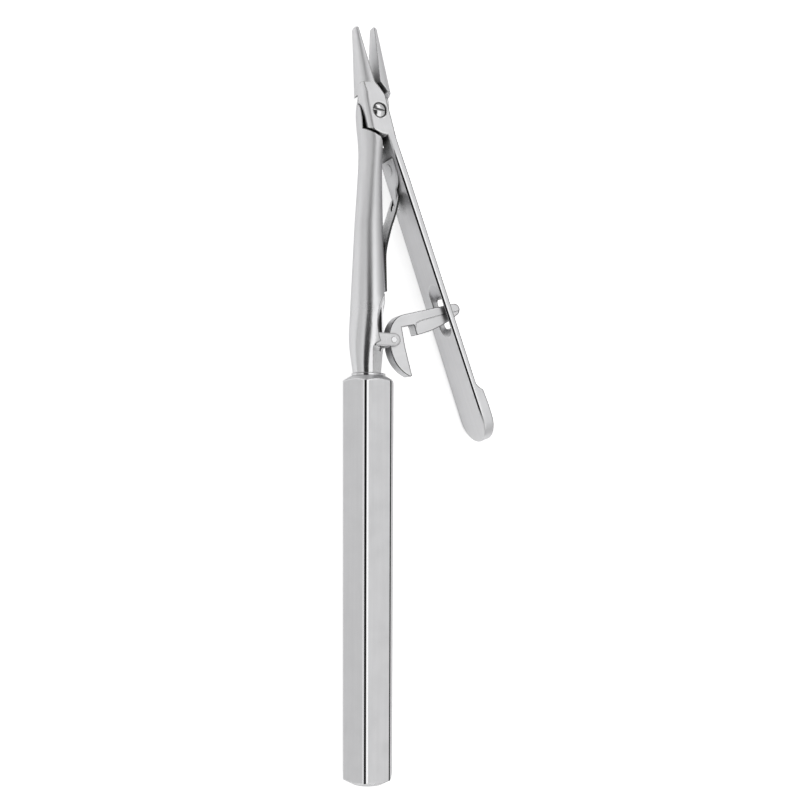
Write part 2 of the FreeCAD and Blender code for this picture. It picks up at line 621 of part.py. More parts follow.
def make_lever_spring():
    """Leaf on the lever whose tongue threads the forked tip, drawn about the joint screw."""
    body = new_body("LeverSpring", "lever_spring")
    set_on_pivot(body, "joint_x", "joint_y")
    body.Placement.Rotation = FreeCAD.Rotation(FreeCAD.Vector(0, 0, 1), size("open_angle"))
    body.setExpression("Placement.Rotation.Angle", "Sizes.open_angle * 1 deg")
    half = size("leaf_half")
    tongue = size("tongue_half")
    lift = size("leaf_thick") / 2 + 0.004
    leaf(body, [(-lift, -7.9), (-lift, -9.0), (-lift - 0.003, -10.2), (-0.21, -11.0), (-0.32, -11.9),
                (-0.62, -13.2), (-1.03, -14.6), (-1.22, -15.3), (-1.43, -16.2)],
         [(-10.8, half), ((-12.2, 1.55), (-12.9, tongue)), (-15.55, tongue), (-15.6, 0.95), (-16.0, 0.95),
          (-16.2, 0.6), (-17, 0.6), (-17, half + 1), (-10.8, half + 1)])
    hole = new_sketch(body, "LeverLeafHole", "YZ_Plane", -3)
    draw_circle(hole, -size("lever_rivet"), 0, "rivet_radius")
    pocket(body, "LeverLeafBore", hole, "20 * Sizes.leaf_half", back=True)
    return body


def dome(radius, low, top):
    """Middle point of a ball-shaped dome's outline from its rim to its top on the axis."""
    rise = top - low
    ball = (radius ** 2 + rise ** 2) / (2 * rise)
    half_turn = math.asin(radius / ball) / 2
    return ball * math.sin(half_turn), top - ball * (1 - math.cos(half_turn))


def make_rivet(name, label, length, radius_alias, head_alias, rise_alias):
    """Flat-headed rivet with a bevelled rim, drawn head up about its own axis, shank downwards."""
    body = new_body(name, label)
    profile = new_sketch(body, name + "Profile", "XZ_Plane")
    shank, head, rise = size(radius_alias), size(head_alias), size(rise_alias)
    draw(profile, (0, -length), (shank, -length), (shank, 0), (head, 0), (head, rise / 2),
         (head - rise / 2, rise), (0, rise))
    turned = body.newObject("PartDesign::Revolution", name + "Body")
    turned.Profile = profile
    turned.ReferenceAxis = (profile, ["V_Axis"])
    turned.Angle = 360
    return body


def make_latch():
    """Bell-crank latch: arm through the lever slot with a tooth, a round nose and a finger tail."""
    body = new_body("Latch", "latch")
    set_on_pivot(body, "latch_x", "latch_y")
    outline = new_sketch(body, "LatchProfile", "XY_Plane", size("latch_low"))
    draw(outline, (-0.56, 1.33), ((0.12, 3.05), (2.2, 4.52)), (9.85, 6.48), (12.0, 7.02),
         ((13.1, 6.35), (12.6, 5.05)), ((9.2, 2.85), (4.79, 1.12)), (4.15, 2.85), (1.75, 2.33),
         (2.43, -1.06), (3.8, -5.92), (3.55, -6.12), ((0.95, -4.25), (-0.36, -1.21)),
         ((-1.2, 0.06), (-0.56, 1.33)))
    pad(body, "LatchBody", outline, "Sizes.latch_thick")
    bore = new_sketch(body, "LatchBoreProfile", "XY_Plane", -1)
    radius = size("pin_radius") + size("pin_fit")
    bore.addGeometry(Part.Circle(point(0, 0), FreeCAD.Vector(0, 0, 1), radius), False)
    pocket(body, "LatchBore", bore, "4 * Sizes.latch_thick", back=True)
    ground = new_sketch(body, "ToothFace", "XY_Plane", size("latch_low") + size("latch_thick") - 0.08)
    draw(ground, (4.6, 3.2), (5.5, 3.68), (10.2, 5.12), (14.5, 6.3), (14.5, 0.5), (4.3, 0.5))
    pocket(body, "ToothRelief", ground, "Sizes.latch_thick", back=True)
    return body


def make_latch_pin():
    """Pin through the fork ears, flush with them."""
    body = new_body("LatchPin", "latch_pin")
    set_on_pivot(body, "latch_x", "latch_y")
    low = size("latch_low") - size("side_gap") - size("ear_thick")
    section = new_sketch(body, "PinProfile", "XY_Plane", low)
    draw_circle(section, 0, 0, "pin_radius")
    pad(body, "PinBody", section, "Sizes.latch_thick + 2 * Sizes.side_gap + 2 * Sizes.ear_thick")
    return body


def make_latch_spring():
    """Thin leaf on the fork floor resting against the heel of the latch."""
    body = new_body("LatchSpring", "latch_spring")
    floor = size("fork_floor")
    thick = size("catch_leaf")
    path = new_sketch(body, "LatchSpringPath", "XY_Plane", size("catch_rivet_z"))
    heel = size("latch_x") - 1.2 - size("side_gap") - thick
    draw(path, (floor, 14.15), (floor, 11.6), (heel, 6.3), (heel, 5.2), (heel + thick, 5.2), (heel + thick, 6.3),
         (floor + thick, 11.6), (floor + thick, 14.15))
    pad(body, "LatchSpringStrip", path, "2 * Sizes.catch_half", both=True)
    hole = new_sketch(body, "LatchSpringHole", "YZ_Plane", 0)
    draw_circle(hole, size("catch_rivet_y"), size("catch_rivet_z"), "catch_rivet")
    pocket(body, "LatchSpringBore", hole, "4 * Sizes.fork_floor", back=True)
    return body


def place_rivets():
    """The three rivets that hold the springs."""
    leaf_thick, y, front = size("leaf_thick"), size("neck_rivet_y"), size("handle_half")
    neck = make_rivet("NeckRivet", "neck_spring_rivet", leaf_thick + 1.1, "rivet_radius", "rivet_head",
                      "neck_rivet_rise")
    neck.Placement = FreeCAD.Placement(
        FreeCAD.Vector(flat_x(y) + leaf_thick + 0.03, 0, 0), FreeCAD.Rotation(FreeCAD.Vector(0, 1, 0), 90))
    neck.setExpression("Placement.Base.y", "Sizes.handle_half + Sizes.neck_rivet_y")
    neck.setExpression("Placement.Base.z", "Sizes.axis_height")
    turn, along, lift = math.radians(size("open_angle")), size("lever_rivet"), leaf_thick + 0.02
    lever = make_rivet("LeverRivet", "lever_spring_rivet", leaf_thick + 1.1, "rivet_radius", "rivet_head",
                       "lever_rivet_rise")
    lever.setExpression("Placement.Base.y", None)
    lever.Placement = FreeCAD.Placement(
        FreeCAD.Vector(size("joint_x") + along * math.sin(turn) - lift * math.cos(turn),
                       front + size("joint_y") - along * math.cos(turn) - lift * math.sin(turn),
                       size("axis_height")),
        FreeCAD.Rotation(FreeCAD.Vector(0, 0, 1), size("open_angle")).multiply(
            FreeCAD.Rotation(FreeCAD.Vector(0, 1, 0), -90)))
    catch = make_rivet("LatchRivet", "latch_spring_rivet", size("catch_leaf") + 0.9, "catch_rivet",
                       "catch_head", "catch_rise")
    catch.Placement = FreeCAD.Placement(
        FreeCAD.Vector(size("fork_floor") + size("catch_leaf"), 0, 0),
        FreeCAD.Rotation(FreeCAD.Vector(0, 1, 0), 90))
    catch.setExpression("Placement.Base.y", "Sizes.handle_half + Sizes.catch_rivet_y")
    catch.setExpression("Placement.Base.z", "Sizes.axis_height + Sizes.catch_rivet_z")
    return [neck, lever, catch]


bodies = [make_handle(), make_body(), make_lever(), make_screw(), make_body_spring(), make_lever_spring(),
          make_latch(), make_latch_pin(), make_latch_spring()] + place_rivets()
doc.recompute()

for item in doc.Objects:
    if "Invalid" in item.State or "Error" in item.State:
        raise RuntimeError("feature failed: " + item.Name)

os.makedirs("parts", exist_ok=True)
for piece in bodies:
    shape = piece.Shape
    if shape.isNull() or not shape.isValid() or len(shape.Solids) != 1:
        raise RuntimeError("bad shape: %s, %d solids" % (piece.Label, len(shape.Solids)))
    shape.exportStep("parts/%s.step" % piece.Label)
    print(piece.Label, round(shape.Volume, 2), shape.BoundBox)
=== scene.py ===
"""Studio scene of a surgical needle holder: satin and polished steel on a pale floor."""

import logging
import math
from collections.abc import Callable, Sequence
from dataclasses import dataclass
from enum import Enum
from typing import Any

import bmesh
import bpy
from mathutils import Matrix, Vector

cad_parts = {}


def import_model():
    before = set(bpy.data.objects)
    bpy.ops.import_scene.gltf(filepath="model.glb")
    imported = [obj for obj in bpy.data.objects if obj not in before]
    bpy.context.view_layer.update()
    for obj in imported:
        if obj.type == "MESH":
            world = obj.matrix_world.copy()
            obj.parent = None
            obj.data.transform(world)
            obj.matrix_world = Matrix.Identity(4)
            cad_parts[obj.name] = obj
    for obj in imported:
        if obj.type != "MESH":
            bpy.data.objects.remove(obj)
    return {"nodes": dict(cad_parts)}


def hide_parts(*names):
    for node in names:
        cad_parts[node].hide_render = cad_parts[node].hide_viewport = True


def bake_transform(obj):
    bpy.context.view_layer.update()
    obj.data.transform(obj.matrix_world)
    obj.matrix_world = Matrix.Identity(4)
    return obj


frame: dict[str, Any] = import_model()

LOG = logging.getLogger("needle_holder")

Socket = bpy.types.NodeSocket
Point = tuple[float, float]
Colour = tuple[float, float, float, float]

MM = 0.001

# Places of the assembly, in millimetres and in degrees from the handle line.
AXIS_HEIGHT = 4.2
LEVER_PIVOT: Point = (0.74, 80.3)
LEVER_TURN = 21.1
LATCH_TURN = -75.0

# Colours that every finish shares.
WHITE: Colour = (1.0, 1.0, 1.0, 1.0)
# Painted shade that darkens crevices where the metal around closes a spot in.
CREVICE_SHADE: Colour = (0.10, 0.095, 0.09, 1.0)
# Painted deep shade in hollows and in gaps between parts.
GLOOM: Colour = (0.012, 0.012, 0.013, 1.0)
# Painted dark reflection along edges and corners.
PAINTED_DARK_REFLECTION: Colour = (0.022, 0.022, 0.024, 1.0)
# Painted highlight beside edges.
PAINTED_HIGHLIGHT: Colour = (0.84, 0.84, 0.85, 1.0)
BLUE_SHARE = 1.012
DIM_SHARE = 0.94
BRIGHT_SHARE = 1.1
BRIGHT_LIMIT = 0.9

# Strength of the marks in colour, roughness and relief.
STREAK_STRENGTH = 0.7
SMUDGE_STRENGTH = 0.3
SMUDGE_ROUGHNESS = 0.6
SCRATCH_ROUGHNESS = 0.06
CORNER_ROUGHNESS = 0.25
LINE_ROUGHNESS = 0.10
SCRATCH_DEPTH = 0.6
BUMP_STRENGTH = 0.5

# Grinding lines, worn edges and hair scratches.
STREAK_SCALE = 0.17
WORN_BEND = (0.003, 0.04)
CORE_BEND = (0.03, 0.11)
HAIR_LINES = ((0.35, 3.1), (-0.9, 2.3), (1.7, 2.7))
HAIR_ALONG = 0.11
HAIR_WIDTH = 0.006
LOOK_SAMPLES = 8

# Spans of the curve between two given points of a leaf's path.
PATH_SPANS = 24


class Body(Enum):
    """The rigid bodies that the leaves bend between."""

    HANDLE = "handle_body"
    LEVER = "lever_body"


class Grain(Enum):
    """Direction in which a surface was ground, as degrees turned from the handle line."""

    ALONG_HANDLE = 0.0
    ALONG_LEVER = LEVER_TURN
    ALONG_LATCH = LATCH_TURN


def gray(value: float) -> Colour:
    """Opaque gray of one value."""
    return (value, value, value, 1.0)


def show(thing: bpy.types.Object) -> None:
    """Link an object into the scene."""
    bpy.context.scene.collection.objects.link(thing)


class NodeSketch:
    """Short calls for adding and linking the nodes of one tree."""

    def __init__(self, tree: bpy.types.NodeTree) -> None:
        """Keep the tree.

        Args:
            tree: the node tree to work on.
        """
        self.tree = tree

    def add(self, kind: str, inputs: dict[str | int, Any] | None = None, **settings: Any) -> bpy.types.Node:
        """Add a node, set its properties and fill its inputs.

        Args:
            kind: node type name without the ShaderNode prefix.
            inputs: values or sockets by input name or number.
            settings: node properties such as operation.

        Returns:
            The new node.
        """
        node = self.tree.nodes.new(kind if kind.startswith("Node") else "ShaderNode" + kind)
        for name, value in settings.items():
            setattr(node, name, value)
        for name, value in (inputs or {}).items():
            self.feed(node, name, value)
        return node

    def feed(self, node: bpy.types.Node, name: str | int, value: Any) -> None:
        """Link a socket to an input, or set the input's value.

        Args:
            node: the node whose input is filled.
            name: the input's name or number.
            value: a socket or a plain value.
        """
        if isinstance(value, Socket):
            self.tree.links.new(value, node.inputs[name])
        else:
            node.inputs[name].default_value = value

    def math(self, operation: str, *values: Any, clamp: bool = False) -> Socket:
        """Result of a Math node.

        Args:
            operation: the node's operation.
            values: its inputs in order.
            clamp: whether the result stays between 0 and 1.

        Returns:
            The output socket.
        """
        node = self.add("Math", dict(enumerate(values)), operation=operation, use_clamp=clamp)
        return node.outputs[0]

    def times(self, first: Any, second: Any) -> Socket:
        """Product of two values."""
        return self.math("MULTIPLY", first, second)

    def parts(self, vector: Socket) -> Sequence[Socket]:
        """X, Y and Z of a vector."""
        return self.add("SeparateXYZ", {0: vector}).outputs

    def scaled(self, vector: Socket, factor: float) -> Socket:
        """A vector times one factor."""
        return self.add("VectorMath", {0: vector, "Scale": factor}, operation="SCALE").outputs[0]

    def stretched(self, vector: Socket, factors: Any) -> Socket:
        """A vector times a factor for each of its parts."""
        return self.add("VectorMath", {0: vector, 1: factors}, operation="MULTIPLY").outputs[0]

    def turned(self, vector: Socket, angle: Any, axis: str = "Z_AXIS", centre: Point = (0.0, 0.0)) -> Socket:
        """A vector turned about an axis.

        Args:
            vector: the vector to turn.
            angle: angle in radians.
            axis: the axis as the node names it.
            centre: X and Y of a point on the axis.

        Returns:
            The turned vector's socket.
        """
        node = self.add("VectorRotate", {0: vector, 1: (*centre, 0.0), "Angle": angle}, rotation_type=axis)
        return node.outputs[0]

    def noise(self, vector: Socket, scale: float, detail: float, **more: float) -> Socket:
        """Value of a Noise Texture node.

        Args:
            vector: where the texture is read.
            scale: its scale.
            detail: its detail.
            more: other inputs by name, such as Roughness.

        Returns:
            The value socket.
        """
        node = self.add("TexNoise", {"Vector": vector, "Scale": scale, "Detail": detail, **more})
        return node.outputs[0]

    def spread(self, value: Socket, low: Any, high: Any, to_low: float = 0.0, to_high: float = 1.0) -> Socket:
        """Result of a clamped Map Range node.

        Args:
            value: the value to map.
            low: input value that gives to_low.
            high: input value that gives to_high.
            to_low: output at low.
            to_high: output at high.

        Returns:
            The output socket.
        """
        node = self.add("MapRange", {0: value, 1: low, 2: high, 3: to_low, 4: to_high}, clamp=True)
        return node.outputs[0]

    def blend_values(self, factor: Any, first: Any, second: Any) -> Socket:
        """Value between two others.

        Args:
            factor: share of the second value.
            first: first value.
            second: second value.

        Returns:
            The value socket.
        """
        node = self.add("Mix", {0: factor, 2: first, 3: second}, data_type="FLOAT")
        return node.outputs[0]

    def blend_colours(self, factor: Any, first: Any, second: Any) -> Socket:
        """Colour between two others.

        Args:
            factor: share of the second colour.
            first: first colour.
            second: second colour.

        Returns:
            The colour socket.
        """
        node = self.add("Mix", {0: factor, 6: first, 7: second}, data_type="RGBA")
        return node.outputs[2]


def fresh_sketch(owner: bpy.types.Material | bpy.types.World) -> NodeSketch:
    """Emptied node tree of a material or world.

    Args:
        owner: the material or world.

    Returns:
        The sketch of its tree.
    """
    owner.use_nodes = True
    owner.node_tree.nodes.clear()
    return NodeSketch(owner.node_tree)


@dataclass(frozen=True)
class GroupSocket:
    """A named socket of a shader group."""

    name: str
    kind: str = "Float"
    value: Any = None


class ShaderGroup:
    """A shader node group with named sockets, built once and placed in many materials."""

    def __init__(
        self,
        name: str,
        inputs: Sequence[GroupSocket],
        outputs: Sequence[GroupSocket],
        wire: Callable[[NodeSketch, dict[str, Socket]], dict[str, Socket]],
    ) -> None:
        """Build the group.

        Args:
            name: name of the group.
            inputs: its input sockets.
            outputs: its output sockets.
            wire: function that adds the nodes and gives the output values by name.
        """
        self.tree = bpy.data.node_groups.new(name, "ShaderNodeTree")
        for side, items in (("INPUT", inputs), ("OUTPUT", outputs)):
            for item in items:
                kind = "NodeSocket" + item.kind
                made = self.tree.interface.new_socket(item.name, in_out=side, socket_type=kind)
                if item.value is not None:
                    made.default_value = item.value
        sketch = NodeSketch(self.tree)
        entry = sketch.add("NodeGroupInput")
        leave = sketch.add("NodeGroupOutput")
        results = wire(sketch, {item.name: entry.outputs[item.name] for item in inputs})
        for result, socket in results.items():
            sketch.feed(leave, result, socket)

    def place(self, sketch: NodeSketch, inputs: dict[str | int, Any]) -> bpy.types.Node:
        """The group as a node of a material, with its inputs filled."""
        return sketch.add("Group", inputs, node_tree=self.tree)


def wire_ground_grain(sketch: NodeSketch, inputs: dict[str, Socket]) -> dict[str, Socket]:
    """Fine parallel grinding lines, long one way and short the other.

    Args:
        sketch: nodes of the group.
        inputs: Position in millimetres, Turn, Across and Along.

    Returns:
        Height of the lines and Streak, their slower variation.
    """
    size = sketch.add("CombineXYZ", {0: inputs["Across"], 1: inputs["Along"], 2: inputs["Across"]})
    ground = sketch.stretched(sketch.turned(inputs["Position"], inputs["Turn"]), size.outputs[0])
    streak = sketch.noise(sketch.scaled(ground, STREAK_SCALE), 1.0, 2.0, Roughness=0.5)
    return {
        "Height": sketch.noise(ground, 1.0, 3.0, Roughness=0.65),
        "Streak": sketch.spread(streak, 0.3, 0.7),
    }


def wire_edge_polish(sketch: NodeSketch, inputs: dict[str, Socket]) -> dict[str, Socket]:
    """Where edges are rubbed bright, with the rounded normal there.

    Args:
        sketch: nodes of the group.
        inputs: Radius of the worn edge, and Position in millimetres.

    Returns:
        Mask of the worn edges, Core of the sharp ones, which the finishes use for painted dark reflection
        lines, and their rounded Normal.
    """
    rounded = sketch.add("Bevel", {"Radius": inputs["Radius"]}, samples=LOOK_SAMPLES).outputs[0]
    flat = sketch.add("NewGeometry").outputs["Normal"]
    both = sketch.add("VectorMath", {0: rounded, 1: flat}, operation="DOT_PRODUCT").outputs["Value"]
    bent = sketch.math("SUBTRACT", 1.0, both)
    uneven = sketch.spread(sketch.noise(inputs["Position"], 1.3, 3.0), 0.2, 0.6, 0.8)
    return {
        "Mask": sketch.times(sketch.spread(bent, *WORN_BEND), uneven),
        "Core": sketch.spread(bent, *CORE_BEND),
        "Normal": rounded,
    }


def wire_handling(sketch: NodeSketch, inputs: dict[str, Socket]) -> dict[str, Socket]:
    """Faint smudges and hair scratches from use.

    Args:
        sketch: nodes of the group.
        inputs: Position in millimetres.

    Returns:
        Smudge mask and Scratch mask.
    """
    position = inputs["Position"]
    cloud = sketch.noise(position, 0.33, 5.0, Roughness=0.6)
    scratches: Any = 0.0
    for turn, across in HAIR_LINES:
        wide = sketch.stretched(sketch.turned(position, turn), (across, HAIR_ALONG, across))
        waves = sketch.noise(wide, 1.0, 1.0, Distortion=0.35)
        offset = sketch.math("ABSOLUTE", sketch.math("SUBTRACT", waves, 0.5))
        hair = sketch.spread(offset, 0.0, HAIR_WIDTH, 1.0, 0.0)
        scratches = sketch.math("MAXIMUM", scratches, hair)
    sparse = sketch.spread(sketch.noise(position, 0.8, 1.0), 0.52, 0.6)
    return {"Smudge": sketch.spread(cloud, 0.42, 0.68), "Scratch": sketch.times(scratches, sparse)}


def wire_crevice(sketch: NodeSketch, inputs: dict[str, Socket]) -> dict[str, Socket]:
    """How far a spot is closed in by the metal around it.

    Args:
        sketch: nodes of the group.
        inputs: Reach of the look around, and the openness that counts as Closed and as Open.

    Returns:
        Mask of the closed-in spots.
    """
    sky = sketch.add("AmbientOcclusion", {"Distance": inputs["Reach"]}, samples=LOOK_SAMPLES).outputs["AO"]
    return {"Mask": sketch.spread(sky, inputs["Closed"], inputs["Open"], 1.0, 0.0)}


class ShaderGroups:
    """The shared effects of the finishes."""

    def __init__(self) -> None:
        """Build each group once."""
        position = GroupSocket("Position", "Vector")
        self.ground_grain = ShaderGroup(
            "ground_grain",
            [position, GroupSocket("Turn"), GroupSocket("Across"), GroupSocket("Along")],
            [GroupSocket("Height"), GroupSocket("Streak")],
            wire_ground_grain,
        )
        self.edge_polish = ShaderGroup(
            "edge_polish",
            [position, GroupSocket("Radius")],
            [GroupSocket("Mask"), GroupSocket("Core"), GroupSocket("Normal", "Vector")],
            wire_edge_polish,
        )
        self.handling = ShaderGroup(
            "handling",
            [position],
            [GroupSocket("Smudge"), GroupSocket("Scratch")],
            wire_handling,
        )
        self.crevice = ShaderGroup(
            "crevice",
            [GroupSocket("Reach"), GroupSocket("Closed", value=0.25), GroupSocket("Open", value=0.75)],
            [GroupSocket("Mask")],
            wire_crevice,
        )


@dataclass(frozen=True)
class Surface:
    """A material being built: its nodes, the place in millimetres and the placed groups."""

    sketch: NodeSketch
    position: Socket
    grain: bpy.types.Node
    edge: bpy.types.Node
    marks: bpy.types.Node
    corner: bpy.types.Node
    depth: bpy.types.Node

    def along(self) -> Socket:
        """Distance along the handle line, in millimetres."""
        return self.sketch.parts(self.position)[1]


@dataclass(frozen=True)
class PaintedLines:
    """Masks of the painted dark reflection lines and the painted highlight lines, or plain values."""

    dark: Any
    bright: Any


@dataclass(frozen=True)
class SteelFinish:
    """A ground or polished steel surface; lengths in millimetres."""

    name: str
    tone: float = 0.70
    roughness: float = 0.30
    rough_swing: float = 0.08
    grain: Grain = Grain.ALONG_HANDLE
    grain_across: float = 14.0
    grain_along: float = 0.30
    grain_depth: float = 0.0015
    edge_radius: float = 0.12
    edge_roughness: float = 0.10
    # Strength of the painted dark reflection on sharp edges.
    edge_dark_reflection: float = 0.0
    # Strength of the painted shade in crevices.
    crevice_shade: float = 0.5
    corner_reach: float = 0.7
    shade: float = 0.9
    shade_reach: float = 3.2
    shade_closed: float = 0.12
    shade_open: float = 0.62

    def build(self, groups: ShaderGroups) -> bpy.types.Material:
        """Make the material.

        Args:
            groups: the shared shader groups.

        Returns:
            The finished material.
        """
        material = bpy.data.materials.new(self.name)
        sketch = fresh_sketch(material)
        position = sketch.scaled(sketch.add("TexCoord").outputs["Object"], 1 / MM)
        surface = Surface(
            sketch=sketch,
            position=position,
            grain=groups.ground_grain.place(sketch, {
                "Position": position, "Turn": math.radians(-self.grain.value),
                "Across": self.grain_across, "Along": self.grain_along,
            }),
            edge=groups.edge_polish.place(sketch, {"Position": position, "Radius": self.edge_radius * MM}),
            marks=groups.handling.place(sketch, {"Position": position}),
            corner=groups.crevice.place(sketch, {"Reach": self.corner_reach * MM}),
            # Mask of the painted deep shade, from a longer look around.
            depth=groups.crevice.place(sketch, {
                "Reach": self.shade_reach * MM, "Closed": self.shade_closed, "Open": self.shade_open,
            }),
        )
        lines = self.lines(surface)
        shader = sketch.add("BsdfPrincipled", {
            "Metallic": 1.0,
            "Base Color": self.colour(surface, lines),
            "Roughness": self.polish(surface, lines),
            "Normal": self.relief(surface),
        })
        sketch.add("OutputMaterial", {0: shader.outputs[0]})
        return material

    def roughness_at(self, surface: Surface) -> Any:
        """Base roughness, the same all over unless a finish says otherwise."""
        return self.roughness

    def shade_at(self, surface: Surface) -> Any:
        """Strength of the deep shade, the same all over unless a finish says otherwise."""
        return self.shade

    def normal_at(self, surface: Surface) -> Socket:
        """Normal with rounded edges, unturned unless a finish says otherwise."""
        return surface.edge.outputs["Normal"]

    def lines(self, surface: Surface) -> PaintedLines:
        """Painted dark reflection lines on the sharp edges and no painted highlights, unless a finish says
        otherwise.
        """
        return PaintedLines(dark=surface.sketch.times(surface.edge.outputs["Core"], self.edge_dark_reflection), bright=0.0)

    def colour(self, surface: Surface, lines: PaintedLines) -> Socket:
        """Steel tone under its streaks, smudges, worn edges, painted crevice shade, painted lines and painted
        deep shade.

        Args:
            surface: the material being built.
            lines: its painted dark reflection and highlight lines.

        Returns:
            The colour socket.
        """
        times = surface.sketch.times
        plain = (self.tone, self.tone, self.tone * BLUE_SHARE)
        dim = (*(DIM_SHARE * part for part in plain), 1.0)
        bright = (*(min(BRIGHT_LIMIT, BRIGHT_SHARE * part) for part in plain), 1.0)
        layers = (
            (times(surface.grain.outputs["Streak"], STREAK_STRENGTH), dim),
            (times(surface.marks.outputs["Smudge"], SMUDGE_STRENGTH), dim),
            (surface.edge.outputs["Mask"], bright),
            # Painted shade in crevices, by how closed in a spot is.
            (times(surface.corner.outputs["Mask"], self.crevice_shade), CREVICE_SHADE),
            # Painted highlight lines, then painted dark reflection lines.
            (lines.bright, PAINTED_HIGHLIGHT),
            (lines.dark, PAINTED_DARK_REFLECTION),
            (times(surface.depth.outputs["Mask"], self.shade_at(surface)), GLOOM),
        )
        result: Any = (*plain, 1.0)
        for mask, tone in layers:
            result = surface.sketch.blend_colours(mask, result, tone)
        return result

    def polish(self, surface: Surface, lines: PaintedLines) -> Socket:
        """Roughness with its grain, smudges, scratches, worn edges, dull corners and lines.

        Args:
            surface: the material being built.
            lines: its painted dark reflection and highlight lines.

        Returns:
            The roughness socket.
        """
        sketch, marks = surface.sketch, surface.marks.outputs
        swing = sketch.math("SUBTRACT", surface.grain.outputs["Height"], 0.5)
        value = self.roughness_at(surface)
        for mask, strength in (
            (swing, self.rough_swing * 2),
            (marks["Smudge"], self.rough_swing * SMUDGE_ROUGHNESS),
            (marks["Scratch"], SCRATCH_ROUGHNESS),
        ):
            value = sketch.math("ADD", value, sketch.times(mask, strength))
        worn = sketch.blend_values(surface.edge.outputs["Mask"], value, self.edge_roughness)
        dull = sketch.times(surface.corner.outputs["Mask"], CORNER_ROUGHNESS)
        soft = sketch.math("ADD", worn, dull, clamp=True)
        return sketch.blend_values(sketch.math("MAXIMUM", lines.dark, lines.bright), soft, LINE_ROUGHNESS)

    def relief(self, surface: Surface) -> Socket:
        """Normal with the relief of the grain and the scratches.

        Args:
            surface: the material being built.

        Returns:
            The normal's socket.
        """
        sketch = surface.sketch
        scratches = sketch.times(surface.marks.outputs["Scratch"], SCRATCH_DEPTH)
        bump = sketch.add("Bump", {
            "Strength": BUMP_STRENGTH, "Distance": self.grain_depth * MM,
            "Height": sketch.math("SUBTRACT", surface.grain.outputs["Height"], scratches),
            "Normal": self.normal_at(surface),
        })
        return bump.outputs[0]


@dataclass(frozen=True)
class LeafFinish(SteelFinish):
    """Spring steel whose cut edges keep the dark skin of their hardening."""

    skin: float = 0.05
    cut_start: float = 0.35
    cut_end: float = 0.7

    def colour(self, surface: Surface, lines: PaintedLines) -> Socket:
        """Steel colour with the cut edges, which face up or down, darkened.

        Args:
            surface: the material being built.
            lines: its painted dark reflection and highlight lines.

        Returns:
            The colour socket.
        """
        sketch = surface.sketch
        facing = sketch.add("NewGeometry").outputs["Normal"]
        cut = sketch.spread(sketch.math("ABSOLUTE", sketch.parts(facing)[2]), self.cut_start, self.cut_end)
        return sketch.blend_colours(cut, super().colour(surface, lines), gray(self.skin))


@dataclass(frozen=True)
class HandleFinish(SteelFinish):
    """Satin flats with a painted line along each upper corner: a painted dark reflection on the corner and a
    painted highlight on one side.
    """

    # Radii and blur of the painted highlight and the painted dark reflection, on the upper corners and, for
    # the highlight, the left side only.
    glow_radius: float = 4.56
    line_radius: float = 4.735
    blur: float = 0.03
    upper_start: float = 2.0
    upper_end: float = 3.0
    side_blur: float = 0.5

    def lines(self, surface: Surface) -> PaintedLines:
        """Painted dark reflection and painted highlight lines by distance from the handle's axis.

        Args:
            surface: the material being built.

        Returns:
            The painted dark reflection mask and the painted highlight mask.
        """
        sketch = surface.sketch
        across, _, height = sketch.parts(surface.position)
        rise = sketch.math("SUBTRACT", height, AXIS_HEIGHT)
        squares = sketch.math("MULTIPLY_ADD", rise, rise, sketch.math("POWER", across, 2.0))
        radius = sketch.math("SQRT", squares)
        upper = sketch.spread(rise, self.upper_start, self.upper_end)
        left = sketch.spread(across, -self.side_blur, self.side_blur, 1.0, 0.0)
        dark = sketch.spread(radius, self.line_radius - self.blur, self.line_radius + self.blur)
        glow = sketch.spread(radius, self.glow_radius, self.glow_radius + 2 * self.blur)
        return PaintedLines(dark=sketch.times(dark, upper), bright=sketch.times(glow, sketch.times(upper, left)))


@dataclass(frozen=True)
class LeverFinish(SteelFinish):
    """Satin lever with painted lines on its rounded inner edges: a painted dark reflection at the corner and
    a painted highlight beside it.
    """

    half_width: float = 2.95
    widening: float = 0.02054
    line: float = 0.24
    line_blur: float = 0.04
    glow_end: float = 0.36
    glow_blur: float = 0.2
    rim_start: float = 0.08
    rim_end: float = 0.14
    line_start: float = 6.5
    start_run: float = 1.5
    line_end: float = 53.0
    end_run: float = 3.0

    def lines(self, surface: Surface) -> PaintedLines:
        """Painted dark reflection and painted highlight lines along the strap, by distance from its inner
        edges.

        Args:
            surface: the material being built.

        Returns:
            The painted dark reflection mask and the painted highlight mask.
        """
        sketch = surface.sketch
        local = sketch.turned(surface.position, math.radians(-LEVER_TURN), centre=LEVER_PIVOT)
        across, back, height = sketch.parts(local)
        along = sketch.math("SUBTRACT", LEVER_PIVOT[1], back)
        out = sketch.math("SUBTRACT", across, LEVER_PIVOT[0])
        rise = sketch.math("ABSOLUTE", sketch.math("SUBTRACT", height, AXIS_HEIGHT))
        half = sketch.math("MULTIPLY_ADD", along, self.widening, self.half_width)
        inward = sketch.math("SUBTRACT", half, rise)
        ends = sketch.times(
            sketch.spread(along, self.line_start, self.line_start + self.start_run),
            sketch.spread(along, self.line_end, self.line_end + self.end_run, 1.0, 0.0),
        )
        reach = sketch.math("MAXIMUM", inward, out)
        near = sketch.spread(reach, self.line - self.line_blur, self.line + self.line_blur, 1.0, 0.0)
        strip = sketch.times(
            sketch.spread(out, self.glow_end, self.glow_end + self.glow_blur, 1.0, 0.0),
            sketch.spread(inward, self.rim_start, self.rim_end, 1.0, 0.0),
        )
        core = super().lines(surface).dark
        return PaintedLines(
            dark=sketch.math("MAXIMUM", sketch.times(near, ends), core),
            bright=sketch.times(strip, ends),
        )


